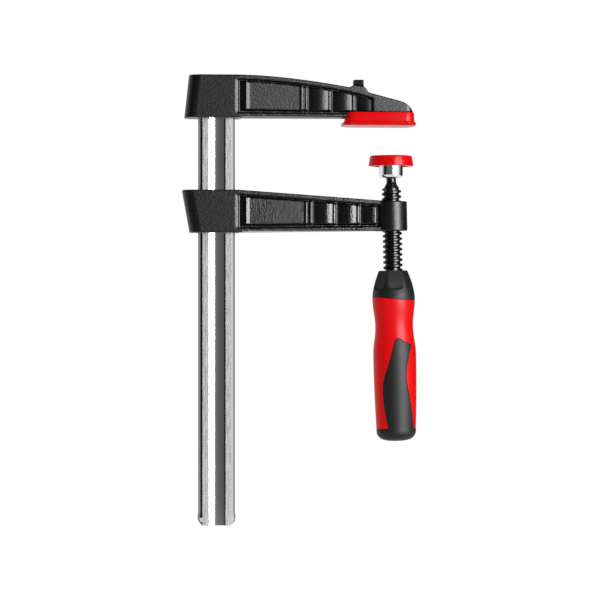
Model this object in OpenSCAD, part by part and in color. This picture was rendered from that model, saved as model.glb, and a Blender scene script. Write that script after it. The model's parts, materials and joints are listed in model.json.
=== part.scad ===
// Screw clamp: two cast jaws on a profiled rail, with a screw spindle and a swivelling pressure plate
// The origin is on the fixed jaw's clamping face, on the axis of the pad; +X points away from the rail

/* [Rail] */
// Width of the rail, from its back edge to its front edge
rail_w = 28; // [24:0.5:34]
// Thickness of the rail
rail_t = 13; // [11:0.5:16]
// Length of the rail below the fixed jaw's clamping face
rail_drop = 302; // [280:1:600]
// Width of the trough in each wide face
trough_w = 13.2; // [9:0.2:16]
// Depth of each trough
trough_depth = 2; // [1.5:0.1:3.4]
// Chamfer on the rail's long edges
rail_chamfer = 2.4; // [1:0.1:2.8]
// Corner cut at the rail's lower end
rail_end_cut = 3; // [1:0.5:6]
// Height of the bead that stops the sliding jaw
bead_h = 6; // [3:0.5:10]
// How far the stop bead stands out
bead_out = 0.5; // [0.4:0.05:0.8]
// From the rail's lower end up to the stop bead
bead_up = 3.2; // [2:0.2:8]
// How far the rail's upset head spreads in the fixed jaw
head_spread = 1.4; // [0.6:0.1:2]
// Height of the rail's upset head
head_h = 7; // [4:0.5:12]

/* [Jaws] */
// Throat: from the rail's front edge to the axis of the pad
throat = 119; // [100:1:160]
// Thickness of both castings at the heel
heel_t = 26; // [24:0.5:32]
// Thickness of both arms over their flanges, at the axis of the pad
arm_tip_t = 15; // [13:0.5:20]
// Height of each flange
flange_h = 3.4; // [2.5:0.1:5]
// Casting in front of the rail, before the arm is hollowed
heel_front = 2.5; // [2:0.5:8]
// Rounding of the heel's back corners
heel_round = 9; // [5:0.5:10]
// Depth of the hollow in each side of an arm
hollow_depth = 4.5; // [3.5:0.25:5]
// Width of the rounded edge between the heel and the hollow
edge_w = 4.2; // [2:0.1:5]
// Gap between the flanges and the forms in the hollow
flange_groove = 1.5; // [0.8:0.1:2.5]
// Width of the gap between the heel and the raised panel
panel_gap = 5.5; // [4:0.5:9]
// Width of the gap's flat floor, from which it slopes up to the panel
gap_floor = 0.9; // [0.5:0.1:2]
// Width of the groove between the raised panel and the first rib
panel_groove = 1.3; // [0.8:0.1:4]
// How far the raised panel lies below the flanges
panel_sink = 1.8; // [1:0.1:3]
// Width of each upright rib
rib_w = 1.9; // [1.4:0.1:3]
// How far the ribs lie below the flanges
rib_sink = 0.9; // [0.5:0.1:2]
// How far each rib's top falls towards the tip
rib_fall = 0.7; // [0.2:0.1:1]
// Distance from one rib to the next
rib_pitch = 18.2; // [16:0.1:20]
// Radius of the barrels between the ribs
barrel_r = 17; // [15:0.5:20]
// How far the barrels lie below the flanges
barrel_sink = 1; // [0.5:0.1:2]
// How far each barrel's crest lies past the middle between two ribs
barrel_shift = 3; // [1:0.1:4]

/* [Fixed jaw] */
// Height of the heel's underside above the clamping face
fixed_heel_z = 6.2; // [4:0.2:9]
// Height of the fixed jaw's heel
fixed_heel_h = 32.4; // [28:0.2:40]
// Casting behind the rail at the heel's top
fixed_back_top = 6.8; // [4:0.2:10]
// Casting behind the rail at the heel's underside
fixed_back_low = 10.4; // [6:0.2:14]
// Height of the arm's top where the lug stands
fixed_tip_z = 29.8; // [27:0.2:33]
// Height of the lug above the arm's tip
lug_rise = 6.1; // [3:0.1:9]
// Width of the lug along the arm
lug_w = 7.6; // [5:0.2:10]
// Thickness of the lug
lug_t = 13; // [8:0.5:16]
// Thickness of the lug at its top
lug_top_t = 8; // [5:0.5:12]
// Width of the flared base on each side of the lug
lug_flare = 3.6; // [2:0.2:6]
// Height of the lug's flared base
lug_base = 1.7; // [0.5:0.1:3]
// From the pad's axis back to the lug
lug_back = 25; // [23:0.5:30]
// Height of the nose where it meets the lug's base
nose_z = 26; // [24:0.2:27]
// Radius of the nose's rounded end
nose_r = 16.5; // [14:0.5:18]
// From the pad's axis to the nose's end
nose_reach = 17; // [13:0.2:20]
// Rounding of the nose, seen from above
nose_end_round = 6; // [3:0.5:6]
// From the axis of the pad back to the fixed arm's first rib
fixed_rib_back = 65; // [60:0.2:70]

/* [Jaw cap] */
// Thickness of the cap under the jaw
cap_floor = 2.6; // [1.5:0.1:3.5]
// Wall of the cap around the jaw's foot
cap_wall = 1.9; // [1.2:0.1:2.4]
// Height of the cap's body
cap_h = 10.8; // [10:0.2:14]
// From the pad's axis back to the foot's rear end
foot_back = 30.6; // [27:0.2:34]
// How far the foot's front lies behind the nose's end
foot_inset = 2.2; // [0.4:0.1:2.4]
// Width of the jaw's foot across the clamp
foot_t = 26; // [25:0.5:30]
// Rounding of the foot's corners in plan
foot_round = 5; // [2:0.5:8]
// Height of the cap's lip
lip_h = 3.6; // [3:0.1:5]
// How far the cap's lip stands out
lip_out = 1.4; // [1.2:0.1:3]
// Slope on the upper edge of the cap's lip
lip_edge = 0.8; // [0.4:0.1:1.2]
// Draft of the cap's front end
cap_draft = 0.4; // [0.1:0.1:1]
// How far the cap's rear end slopes outward
cap_slant = 3.8; // [2:0.1:5]
// Crown of the cap's clamping face
cap_crown = 0.8; // [0.4:0.1:1.4]
// Half length of the flat middle of the cap's clamping face
cap_flat = 11.5; // [8:0.5:14]

/* [Sliding jaw] */
// From the fixed jaw's clamping face down to the sliding jaw's heel
slide_top = 48.3; // [46:0.1:56]
// Height of the sliding jaw's heel
slide_heel_h = 32.3; // [28:0.1:40]
// Casting behind the rail at the heel's top
slide_back_top = 12.2; // [8:0.2:15]
// Casting behind the rail at the heel's underside
slide_back_low = 6.4; // [4:0.2:10]
// How far the arm's top falls from the heel to the boss
arm_fall = 8.2; // [6:0.1:10]
// How far the arm's underside rises from the heel to the boss
arm_rise = 1.6; // [0.5:0.1:4]
// Radius of the threaded boss
boss_r = 11.6; // [10:0.1:14]
// Clearance between the jaw and the rail, on each side
slide_clear = 0.3; // [0.2:0.05:0.4]
// From the axis of the pad back to the sliding arm's first rib
slide_rib_back = 61.6; // [58:0.2:66]

/* [Spindle] */
// Lean of the spindle towards the rail, in degrees
lean = 1.15; // [0:0.05:2]
// Radius over the thread's crests
thread_r = 7.5; // [6:0.1:8.5]
// Depth of the thread
thread_depth = 1.75; // [1:0.05:2]
// Pitch of the single-start right-hand thread
thread_pitch = 4; // [3:0.5:5]
// Radius of the ball end
ball_r = 5.7; // [5.2:0.1:6]
// Radius of the neck under the ball
neck_r = 3.65; // [3:0.05:3.9]
// From the ball's centre to the thread's start
neck_len = 13.6; // [12:0.2:20]
// Clearance of the thread's crests in the boss
thread_clear = 0.1; // [0.05:0.01:0.1]
// Length of the tang inside the handle
tang_len = 96; // [60:1:105]
// Radius of the tang
tang_r = 5.6; // [4:0.1:5.7]
// Half width over the tang's two flats
tang_flat = 4.4; // [3:0.1:5]

/* [Pad] */
// Gap between the pad's face and the fixed jaw's face at rest
rest_gap = 21.7; // [20:0.1:30]
// Radius of the pad cap's face
pad_r = 16.1; // [14.5:0.1:20]
// How far the pad cap widens towards its rim
pad_flare = 1.1; // [0.3:0.1:2]
// Height of the pad cap
pad_cap_h = 8; // [7:0.1:10]
// Thickness of the pressure plate
plate_h = 3.5; // [2.5:0.1:4]
// Radius of the plate's hub
hub_r = 9.1; // [8.2:0.1:11]
// From the pad's face down to the ball's centre
ball_drop = 10.5; // [10:0.1:13]
// Lip of the hub under the retaining ring
hub_lip = 1.1; // [0.6:0.1:2]
// Thickness of the pad cap over the plate
pad_floor = 2.6; // [1.8:0.1:3]
// Wall of the pad cap around the plate
pad_wall = 1.7; // [1.2:0.1:2.4]
// How far the pad cap hooks under the plate
pad_hook = 1.4; // [0.6:0.1:2]
// Width of the flat rim around the dish in the plate's top
plate_rim = 2.8; // [1:0.1:4]
// Depth of the dish in the plate's top
plate_dish = 0.6; // [0.2:0.1:0.8]
// Clearance of the ball in its socket
ball_clear = 0.1; // [0.05:0.01:0.1]
// Wire radius of the retaining ring
ring_wire = 0.7; // [0.5:0.05:0.8]
// Gap between the retaining ring and the ball
ring_gap = 0.3; // [0.15:0.05:0.4]
// Room for the ring in its groove at full tilt
groove_clear = 0.2; // [0.1:0.05:0.3]
// Largest tilt of the pad on its ball, in degrees
pad_tilt = 6; // [2:0.5:7]

/* [Handle] */
// From the ball's centre to the handle's top
handle_top = 76.9; // [72:0.1:110]
// Length of the handle
handle_len = 129.7; // [110:0.1:160]
// Radius of the handle's top
top_r = 11; // [9.5:0.1:12]
// Radius of the shoulder at the collar's end
shoulder_r = 16.2; // [15:0.1:19]
// Length of the collar
collar_len = 21.6; // [18:0.1:26]
// Half width over the collar's six flats, at their lower end
collar_flat = 14.3; // [13.5:0.1:15]
// Lean of the collar's flats towards the handle's axis, in degrees
flat_lean = 19.5; // [16:0.5:21]
// Length of the collar's flats
flat_len = 13.6; // [8:0.1:16]
// Turn of the collar's flats about the handle, in degrees
flat_turn = 2.5; // [-30:0.5:30]
// Slant of the collar's lower edge, in degrees
collar_slant = 5.5; // [0:0.1:7]
// Radius of the handle's waist
waist_r = 14.4; // [13.4:0.1:17]
// From the collar to the waist
waist_len = 20.8; // [14:0.1:30]
// Radius of the handle's belly
belly_r = 16.4; // [15:0.1:19]
// From the waist to the belly
belly_len = 21.7; // [14:0.1:30]
// Radius at the end cap
tail_r = 15.1; // [13.6:0.1:18]
// Length of the rounded end cap
end_cap_len = 9.6; // [7:0.1:14]
// Thickness of the soft grip
grip_t = 1.8; // [1:0.1:2.4]
// How far the soft grip stands proud of the handle
grip_proud = 0.35; // [0.1:0.05:0.8]
// Gap between the soft grip and the handle's body
grip_gap = 0.1; // [0.1:0.05:0.3]

/* [Hidden] */

$fn = 64;

// Gap between pieces that are pressed or moulded together
fit_gap = 0.05;
// Overlap that lets a cut run clear of a face
over = 1;

rail_front = -throat;
rail_back = -throat - rail_w;
rail_mid = -throat - rail_w / 2;
rail_top = fixed_heel_z + fixed_heel_h;

heel_end = rail_front + heel_front;
foot_front = nose_reach - foot_inset;
slide_low = slide_top + slide_heel_h;
ball_z = -rest_gap - ball_drop;
core_r = thread_r - thread_depth;
boss_top_s = slide_top + arm_fall + ball_z;
boss_low_s = slide_low - arm_rise + ball_z;
rod_turns = ceil((handle_top - neck_len) / thread_pitch);
rod_end = neck_len + thread_pitch * (rod_turns + 1);
tang_end = rod_end + tang_len;

swing = pad_tilt + lean;
ring_r = ball_r - 0.5;
ring_drop = sqrt(pow(ball_r + ring_wire + ring_gap, 2) - ring_r * ring_r);
ring_outer = ring_r + ring_wire;
groove_r = ring_outer + ring_drop * sin(swing) + groove_clear;
groove_top = ring_drop - ring_wire - ring_outer * sin(swing) - groove_clear;
groove_low = ring_drop + ring_wire + ring_outer * sin(swing) + groove_clear;
hub_low = groove_low + hub_lip;
mouth_r = neck_r + hub_low * tan(swing) + ring_gap;
plate_r = pad_r - pad_wall;

collar_end = handle_top + collar_len;
waist_s = collar_end + waist_len;
belly_s = waist_s + belly_len;
handle_end = handle_top + handle_len;
tail_s = handle_end - end_cap_len;

// Points of an arc, from one angle to another
function arc(cx, cy, r, from, to, steps = 8) = [
    for (i = [0 : steps])
        let (a = from + (to - from) * i / steps)
        [cx + r * cos(a), cy + r * sin(a)]
];

// A value that eases from a to b while t runs from 0 to 1
function ease(a, b, t) = a + (b - a) * (1 - cos(180 * t)) / 2;

// One stretch of a smooth curve through four points
function curve_point(p0, p1, p2, p3, t) =
    0.5 * (2 * p1 + (p2 - p0) * t + (2 * p0 - 5 * p1 + 4 * p2 - p3) * t * t
    + (3 * p1 - p0 - 3 * p2 + p3) * t * t * t);

// A smooth closed curve through the given points
function closed_curve(pts, steps = 4) = [
    for (i = [0 : len(pts) - 1], j = [0 : steps - 1])
        let (n = len(pts))
        curve_point(pts[(i + n - 1) % n], pts[i], pts[(i + 1) % n], pts[(i + 2) % n], j / steps)
];

// Stands an outline drawn in X and Z upright and gives it a thickness along Y, centred
module upright(thickness) {
    rotate([90, 0, 0])
        linear_extrude(height = thickness, center = true)
            children();
}

// Moves a piece from the spindle's own frame, with the ball at its origin, to its place
module on_spindle() {
    translate([0, 0, ball_z])
        rotate([0, -lean, 0])
            children();
}

// Rail

// Half of the rail's section above the middle line, grown outward by a clearance, with a round trough
trough_r = (trough_w * trough_w / 4 + trough_depth * trough_depth) / (2 * trough_depth);
trough_y = rail_t / 2 - trough_depth + trough_r;
function rail_half(grow) =
    let (
        w = rail_w / 2 + grow,
        t = rail_t / 2 + grow,
        c = rail_chamfer,
        r = trough_r - grow,
        span = acos((trough_y - t) / r)
    )
    concat(
        [[w, t - c], [w - c, t]],
        arc(0, trough_y, r, 270 + span, 270 - span, 10),
        [[c - w, t], [-w, t - c]]
    );

// The rail's section about its own middle
module rail_section(grow = 0) {
    upper = rail_half(grow);
    polygon(concat(upper, [for (i = [0 : len(upper) - 1]) [-upper[i][0], -upper[i][1]]]));
}

// The upset head of the rail, which spreads towards its top
module rail_head(grow = 0) {
    w = rail_w / 2 - rail_chamfer + grow;
    t = rail_t / 2 - trough_depth + grow;
    top_w = rail_w / 2 + grow + head_spread;
    top_t = rail_t / 2 + grow + head_spread;
    translate([rail_mid, 0, rail_top - head_h])
        intersection() {
            upright(rail_t * 2)
                polygon([[-w, 0], [w, 0], [top_w, head_h], [-top_w, head_h]]);
            rotate([0, 0, 90])
                upright(rail_w * 2)
                    polygon([[-t, 0], [t, 0], [top_t, head_h], [-top_t, head_h]]);
        }
}

// The rail's outline seen from the side, with its lower corners cut
module rail_outline() {
    w = rail_w / 2 + bead_out;
    low = -rail_drop;
    polygon([
        [-w, rail_top], [-w, low + rail_end_cut], [rail_end_cut - w, low],
        [w - rail_end_cut, low], [w, low + rail_end_cut], [w, rail_top]
    ]);
}

// The bead that is upset on both narrow sides, with sloping ends
module stop_beads() {
    t = rail_t - 2 * rail_chamfer;
    x = rail_w / 2;
    for (side = [-1, 1])
        translate([rail_mid, 0, -rail_drop + bead_up])
            upright(t)
                polygon([
                    [side * (x - over), 0], [side * x, 0],
                    [side * (x + bead_out), bead_out], [side * (x + bead_out), bead_h - bead_out],
                    [side * x, bead_h], [side * (x - over), bead_h]
                ]);
}

module rail() {
    color("lightsteelblue")
        union() {
            intersection() {
                translate([rail_mid, 0, -rail_drop])
                    linear_extrude(height = rail_drop + rail_top)
                        rail_section();
                translate([rail_mid, 0, 0])
                    upright(rail_t + 2 * over)
                        rail_outline();
            }
            stop_beads();
            rail_head();
        }
}

// Castings

// Both arms grow thinner from the heel to the tip
arm_taper = atan((heel_t - arm_tip_t) / 2 / -heel_end);
function arm_half(x) = heel_t / 2 - (x - heel_end) * tan(arm_taper);

// Plan of a jaw: thick heel, then the tapered arm with a round end, grown outward by a clearance
module jaw_plan(back, reach, end_round, grow = 0) {
    end_x = reach - end_round;
    end_y = arm_half(end_x) - end_round / cos(arm_taper);
    near = concat(
        [[back, -heel_t / 2 - grow], [heel_end, -heel_t / 2 - grow]],
        arc(end_x, -end_y, end_round + grow, 270 + arm_taper, 360)
    );
    far = [for (i = [len(near) - 1 : -1 : 0]) [near[i][0], -near[i][1]]];
    polygon(concat(near, far));
}

// What is cut away to round the heel's two back edges, which lean from x = low to x = high.
// The round runs out just past the faces, so that no sliver is left where it would touch them.
module heel_corners(low, high, z, tall) {
    run = tall + 4 * over;
    mid = heel_round - fit_gap;
    for (side = [0, 1])
        mirror([0, side, 0])
            translate([low, heel_t / 2, z])
                rotate([0, atan((high - low) / tall), 0])
                    difference() {
                        translate([-over, -heel_round, -2 * over])
                            cube([heel_round + over, heel_round + over, run]);
                        translate([mid, -mid, -3 * over])
                            cylinder(r = heel_round, h = run + 2 * over);
                    }
}

// Plan of the hollow in one side of an arm, with y = 0 on the arm's face and a rounded edge at the heel
edge_turn = 28;
module hollow_plan(tip) {
    r = edge_w / sin(edge_turn);
    polygon(concat(
        [[tip, over], [heel_end - edge_w, over]],
        arc(heel_end - edge_w, -r, r, 90, 90 - edge_turn, 4),
        [[heel_end, -hollow_depth], [tip, -hollow_depth]]
    ));
}

// The forms that stand in a hollow: a slope up to a raised panel between two ribs, then three barrels
// between ribs
module hollow_forms(rib_x, tall) {
    block = rib_x - rib_w / 2;
    panel_from = heel_end + panel_gap;
    panel_to = block - panel_groove;
    translate([panel_from, -2 * hollow_depth, 0])
        cube([panel_to - panel_from, 2 * hollow_depth - panel_sink, tall]);
    slope = (panel_gap - gap_floor) / (hollow_depth - rib_sink);
    linear_extrude(height = tall)
        polygon([
            [panel_from - slope * (2 * hollow_depth - rib_sink), -2 * hollow_depth], [panel_from, -rib_sink],
            [panel_from, -2 * hollow_depth]
        ]);
    for (x = [panel_from, panel_to - rib_w, for (i = [0 : 2]) block + i * rib_pitch])
        linear_extrude(height = tall)
            polygon([
                [x, -2 * hollow_depth], [x, -rib_sink], [x + rib_w, -rib_sink - rib_fall],
                [x + rib_w, -2 * hollow_depth]
            ]);
    for (i = [0 : 2])
        intersection() {
            translate([rib_x + (i + 0.5) * rib_pitch + barrel_shift, -barrel_sink - barrel_r, 0])
                cylinder(r = barrel_r, h = tall);
            translate([rib_x + i * rib_pitch, -2 * hollow_depth, 0])
                cube([rib_pitch, 2 * hollow_depth, tall]);
        }
}

// Both sides of an arm are hollowed inside the first outline, with forms inside the second one
module arm_hollows(rib_x, tip, low, high) {
    tall = high - low;
    for (side = [0, 1])
        mirror([0, side, 0])
            difference() {
                intersection() {
                    translate([heel_end, heel_t / 2, low])
                        rotate([0, 0, -arm_taper])
                            translate([-heel_end, 0, 0])
                                linear_extrude(height = tall)
                                    hollow_plan(tip);
                    upright(2 * heel_t)
                        children(0);
                }
                intersection() {
                    translate([heel_end, heel_t / 2, low])
                        rotate([0, 0, -arm_taper])
                            translate([-heel_end, 0, 0])
                                hollow_forms(rib_x, tall);
                    upright(2 * heel_t)
                        children(1);
                }
            }
}

// Height of the fixed arm's top, which falls in a gentle curve from the heel to the lug
arm_curve = 1.7;
lug_x = -lug_back;
curve_end = lug_x - lug_w / 2 - lug_flare;
function fixed_top_z(x) =
    rail_top - (rail_top - fixed_tip_z) * pow((x - heel_end) / (curve_end - heel_end), arm_curve);

// Points along the fixed arm's top, from the lug back to the heel, lowered by a flange or not
function fixed_top_points(lower = 0, steps = 14) = [
    for (i = [0 : steps])
        let (x = curve_end + (heel_end - curve_end) * i / steps)
        [x, fixed_top_z(x) - lower]
];

// The rounded end of the fixed jaw's nose, which meets the cap at a slant
nose_turn = 25;
nose_mid = [nose_reach - nose_r * cos(nose_turn), cap_h + fit_gap - nose_r * sin(nose_turn)];
function nose_points() = concat(
    [[foot_front - cap_wall, fixed_heel_z], [foot_front - cap_wall, cap_h + fit_gap]],
    arc(nose_mid[0], nose_mid[1], nose_r, nose_turn, 76, 6)
);

module fixed_outline() {
    polygon(concat(
        [[rail_back - fixed_back_low, fixed_heel_z]],
        nose_points(),
        [
            [lug_x + lug_w / 2 + lug_flare, nose_z], [lug_x + lug_w / 2, fixed_tip_z + lug_base / 2],
            [lug_x - lug_w / 2, fixed_tip_z + lug_base]
        ],
        fixed_top_points(),
        [[rail_back - fixed_back_top, rail_top]]
    ));
}

// What stays open between the fixed arm's flanges, less a groove
module fixed_window(tip, groove = 0) {
    margin = flange_h + groove;
    z = fixed_heel_z + margin;
    slope = (nose_z - fixed_tip_z) / (lug_w + 2 * lug_flare);
    polygon(concat(
        [[heel_end - edge_w, z], [tip, z], [tip, fixed_tip_z - margin + slope * (tip - curve_end)]],
        fixed_top_points(margin),
        [[heel_end - edge_w, rail_top - margin]]
    ));
}

// The foot of the fixed jaw, which the cap covers
module foot_plan(grow, spread = 0) {
    w = (foot_front + foot_back) / 2 + grow;
    t = foot_t / 2 + grow;
    r = foot_round + grow;
    mid = (foot_front - foot_back) / 2;
    translate([mid - spread / 2, 0])
        polygon(concat(
            arc(w + spread / 2 - r, t - r, r, 0, 90),
            arc(r - w - spread / 2, t - r, r, 90, 180),
            arc(r - w - spread / 2, r - t, r, 180, 270),
            arc(w + spread / 2 - r, r - t, r, 270, 360)
        ));
}

// The lug on the fixed arm, which grows thinner towards its top
module lug() {
    top = fixed_tip_z + lug_rise;
    translate([lug_x, 0, 0])
        rotate([0, 0, 90])
            upright(lug_w)
                polygon([
                    [-lug_t / 2, nose_z], [lug_t / 2, nose_z], [lug_top_t / 2, top], [-lug_top_t / 2, top]
                ]);
}

module fixed_jaw() {
    tip = -nose_reach + 2.5;
    color("dimgray")
        difference() {
            union() {
                intersection() {
                    upright(heel_t)
                        fixed_outline();
                    translate([0, 0, cap_floor - over])
                        linear_extrude(height = rail_top + over)
                            jaw_plan(rail_back - fixed_back_low, nose_reach, nose_end_round);
                }
                translate([0, 0, cap_floor])
                    linear_extrude(height = cap_h - cap_floor + 2 * fit_gap)
                        foot_plan(0);
                lug();
            }
            heel_corners(rail_back - fixed_back_low, rail_back - fixed_back_top, fixed_heel_z, fixed_heel_h);
            arm_hollows(-fixed_rib_back, tip, fixed_heel_z, rail_top) {
                fixed_window(tip);
                fixed_window(tip, flange_groove);
            }
            translate([rail_mid, 0, fixed_heel_z - over])
                linear_extrude(height = fixed_heel_h + 2 * over)
                    rail_section(fit_gap);
            rail_head(fit_gap);
        }
}

// Side outline of the jaw cap: crowned face, lip, body with a sloping rear end
module cap_outline() {
    front = foot_front + cap_wall;
    rear = -foot_back - cap_wall;
    tip = front + lip_out;
    tail = rear - cap_slant - lip_out;
    flat_x = (tip + tail) / 2 + lip_out * 2;
    rise_x = flat_x - cap_flat - tail;
    rise_r = (rise_x * rise_x + cap_crown * cap_crown) / (2 * cap_crown);
    fall_x = tip - flat_x - cap_flat;
    fall_r = (fall_x * fall_x + cap_crown * cap_crown) / (2 * cap_crown);
    polygon(concat(
        arc(flat_x - cap_flat, rise_r, rise_r, 270 - asin(rise_x / rise_r), 270, 6),
        arc(flat_x + cap_flat, fall_r, fall_r, 270, 270 + asin(fall_x / fall_r), 5),
        [
            [tip, lip_h - lip_edge], [tip - lip_edge, lip_h], [front + cap_draft, lip_h], [front, cap_h],
            [rear, cap_h], [rear - cap_slant, lip_h], [tail, lip_h - lip_edge]
        ]
    ));
}

module jaw_cap() {
    arm_cut = -foot_back - cap_wall - cap_slant - lip_out - over;
    arm_cut_end = -foot_back + foot_round;
    color("red")
        difference() {
            intersection() {
                upright(foot_t + 2 * (cap_wall + lip_out))
                    cap_outline();
                union() {
                    linear_extrude(height = lip_h)
                        foot_plan(cap_wall + lip_out, cap_slant);
                    translate([0, 0, lip_h])
                        linear_extrude(height = cap_h)
                            foot_plan(cap_wall, cap_slant);
                }
            }
            translate([0, 0, cap_floor - fit_gap])
                linear_extrude(height = cap_h)
                    foot_plan(fit_gap);
            intersection() {
                translate([arm_cut, -heel_t, fixed_heel_z - fit_gap])
                    cube([arm_cut_end - arm_cut, 2 * heel_t, cap_h]);
                linear_extrude(height = rail_top)
                    jaw_plan(rail_back, nose_reach, nose_end_round, fit_gap);
            }
        }
}

// Sliding jaw

// Height of the sliding arm's top and of its underside, at a distance along X
arm_run = -heel_end;
function slide_top_z(x) = -slide_top - arm_fall * (x - heel_end) / arm_run;
function slide_low_z(x) = -slide_low + arm_rise * (x - heel_end) / arm_run;

module slide_outline(reach) {
    polygon([
        [rail_back - slide_back_low, -slide_low], [heel_end, -slide_low], [reach, slide_low_z(reach)],
        [reach, slide_top_z(reach)], [heel_end, -slide_top], [rail_back - slide_back_top, -slide_top]
    ]);
}

// What stays open between the sliding arm's flanges, less a groove
module slide_window(tip, groove = 0) {
    margin = flange_h + groove;
    polygon([
        [heel_end - edge_w, margin - slide_low], [heel_end, margin - slide_low],
        [tip, slide_low_z(tip) + margin], [tip, slide_top_z(tip) - margin],
        [heel_end, -slide_top - margin], [heel_end - edge_w, -slide_top - margin]
    ]);
}

module sliding_jaw() {
    tip = -boss_r / 2;
    color("dimgray")
        difference() {
            union() {
                difference() {
                    intersection() {
                        upright(heel_t)
                            slide_outline(0);
                        translate([0, 0, -slide_low - over])
                            linear_extrude(height = slide_heel_h + 2 * over)
                                jaw_plan(rail_back - slide_back_top, over, 1);
                    }
                    arm_hollows(-slide_rib_back, tip, -slide_low, -slide_top) {
                        slide_window(tip);
                        slide_window(-boss_r, flange_groove);
                    }
                }
                on_spindle()
                    translate([0, 0, -boss_low_s])
                        cylinder(r = boss_r, h = boss_low_s - boss_top_s);
            }
            heel_corners(rail_back - slide_back_low, rail_back - slide_back_top, -slide_low, slide_heel_h);
            translate([rail_mid, 0, -slide_low - over])
                linear_extrude(height = slide_heel_h + 2 * over)
                    rail_section(slide_clear);
            on_spindle()
                translate([0, 0, -boss_low_s - over])
                    cylinder(r = thread_r + thread_clear, h = boss_low_s - boss_top_s + 2 * over);
        }
}

// Spindle

// Points along one pitch of the thread: root, flank and crest, as [share of the pitch, radius]
thread_shape = [[0, core_r], [0.3, core_r], [0.46, thread_r], [0.84, thread_r]];
// Flat sides that stand for one turn of the thread
thread_sides = 24;

// The threaded rod, as one surface that winds up its own helix, from z = 0
module threaded_rod(turns) {
    n = thread_sides;
    m = len(thread_shape);
    last = turns * n;
    points = concat(
        [
            for (c = [0 : last], p = thread_shape)
                let (a = 360 * c / n)
                [p[1] * cos(a), p[1] * sin(a), thread_pitch * (c / n + p[0])]
        ],
        [
            for (c = [last + 1 : last + n])
                let (a = 360 * c / n)
                [core_r * cos(a), core_r * sin(a), thread_pitch * c / n]
        ],
        [[0, 0, 0], [0, 0, thread_pitch * (turns + 1)]]
    );
    foot = (last + 1) * m + n;
    head = foot + 1;
    function at(c, k) = k == m ? at(c + n, 0) : (c <= last ? c * m + k : (last + 1) * m + c - last - 1);
    faces = concat(
        [for (c = [0 : last - 1], k = [0 : m - 1]) [at(c, k), at(c, k + 1), at(c + 1, k)]],
        [for (c = [0 : last - 1], k = [0 : m - 1]) [at(c + 1, k), at(c, k + 1), at(c + 1, k + 1)]],
        [for (c = [0 : n - 1]) [foot, at(c, 0), at(c + 1, 0)]],
        [for (k = [0 : m - 1]) [foot, at(0, k + 1), at(0, k)]],
        [for (c = [last : last + n - 1]) [head, at(c + 1, 0), at(c, 0)]],
        [for (k = [0 : m - 1]) [head, at(last, k), at(last, k + 1)]]
    );
    polyhedron(points, faces);
}

// Ball, neck and the smooth core that runs one pitch into the thread
module spindle_neck() {
    core = core_r - fit_gap;
    throat_s = neck_len * 0.54;
    rotate_extrude()
        polygon(concat(
            [[0, ball_r]],
            arc(0, 0, ball_r, 80, asin(-sqrt(1 - pow(neck_r / ball_r, 2))), 20),
            [
                [neck_r, -throat_s], [ease(neck_r, core, 0.35), -ease(throat_s, neck_len, 0.5)],
                [core, -neck_len], [core, -neck_len - thread_pitch], [0, -neck_len - thread_pitch]
            ]
        ));
}

// The tang inside the handle, with two flats that carry the turning force
module tang(grow = 0) {
    intersection() {
        translate([0, 0, -tang_end - grow])
            cylinder(r = tang_r + grow, h = tang_end - rod_end + thread_pitch);
        translate([-tang_r * 2, -tang_flat - grow, -tang_end - over])
            cube([tang_r * 4, 2 * (tang_flat + grow), tang_end]);
    }
}

module spindle() {
    color("black")
        on_spindle()
            union() {
                translate([0, 0, -rod_end])
                    threaded_rod(rod_turns);
                spindle_neck();
                tang();
            }
}

// Pad

module retaining_ring() {
    color("silver")
        on_spindle()
            translate([0, 0, -ring_drop])
                rotate_extrude()
                    translate([ring_r, 0])
                        circle(r = ring_wire, $fn = 24);
}

module pressure_plate() {
    top = ball_drop - pad_floor - fit_gap;
    low = top - plate_h;
    socket = ball_r + ball_clear;
    hub_round = 3;
    color("silver")
        translate([0, 0, ball_z])
            rotate_extrude()
                difference() {
                    polygon(concat(
                        [[0, -hub_low], [hub_r - hub_round, -hub_low]],
                        arc(hub_r - hub_round, hub_round - hub_low, hub_round, 270, 360),
                        [[hub_r, low], [plate_r, low], [plate_r, top]],
                        [[plate_r - plate_rim, top], [0, top - plate_dish]]
                    ));
                    polygon(concat(
                        arc(0, 0, socket, 90, asin(-groove_top / socket), 20),
                        [
                            [groove_r, -groove_top], [groove_r, -groove_low],
                            [mouth_r, -groove_low], [mouth_r, -hub_low - over], [0, -hub_low - over]
                        ]
                    ));
                }
}

module pad_cap() {
    edge = 1;
    r = plate_r + fit_gap;
    top = -pad_floor;
    low = top - plate_h - 2 * fit_gap;
    hook_r = plate_r - pad_hook;
    color("red")
        translate([0, 0, -rest_gap])
            rotate_extrude()
                polygon(concat(
                    [[0, top], [r, top], [r, low], [hook_r, low], [hook_r, -pad_cap_h]],
                    [[pad_r + pad_flare - edge / 2, -pad_cap_h], [pad_r + pad_flare, edge / 2 - pad_cap_h]],
                    arc(pad_r - edge, -edge, edge, 0, 90, 4),
                    [[0, 0]]
                ));
}

// Handle

// Radius of the handle at a distance s from the ball's centre
function handle_r(s) =
    s < collar_end ? top_r + (shoulder_r - top_r) * sin(90 * (s - handle_top) / collar_len)
    : s < waist_s ? ease(shoulder_r, waist_r, (s - collar_end) / waist_len)
    : s < belly_s ? ease(waist_r, belly_r, (s - waist_s) / belly_len)
    : s < tail_s ? belly_r - (belly_r - tail_r) * pow((s - belly_s) / (tail_s - belly_s), 2)
    : tail_r * pow(max(0, 1 - pow((s - tail_s) / end_cap_len, 3)), 1 / 3);

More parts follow.
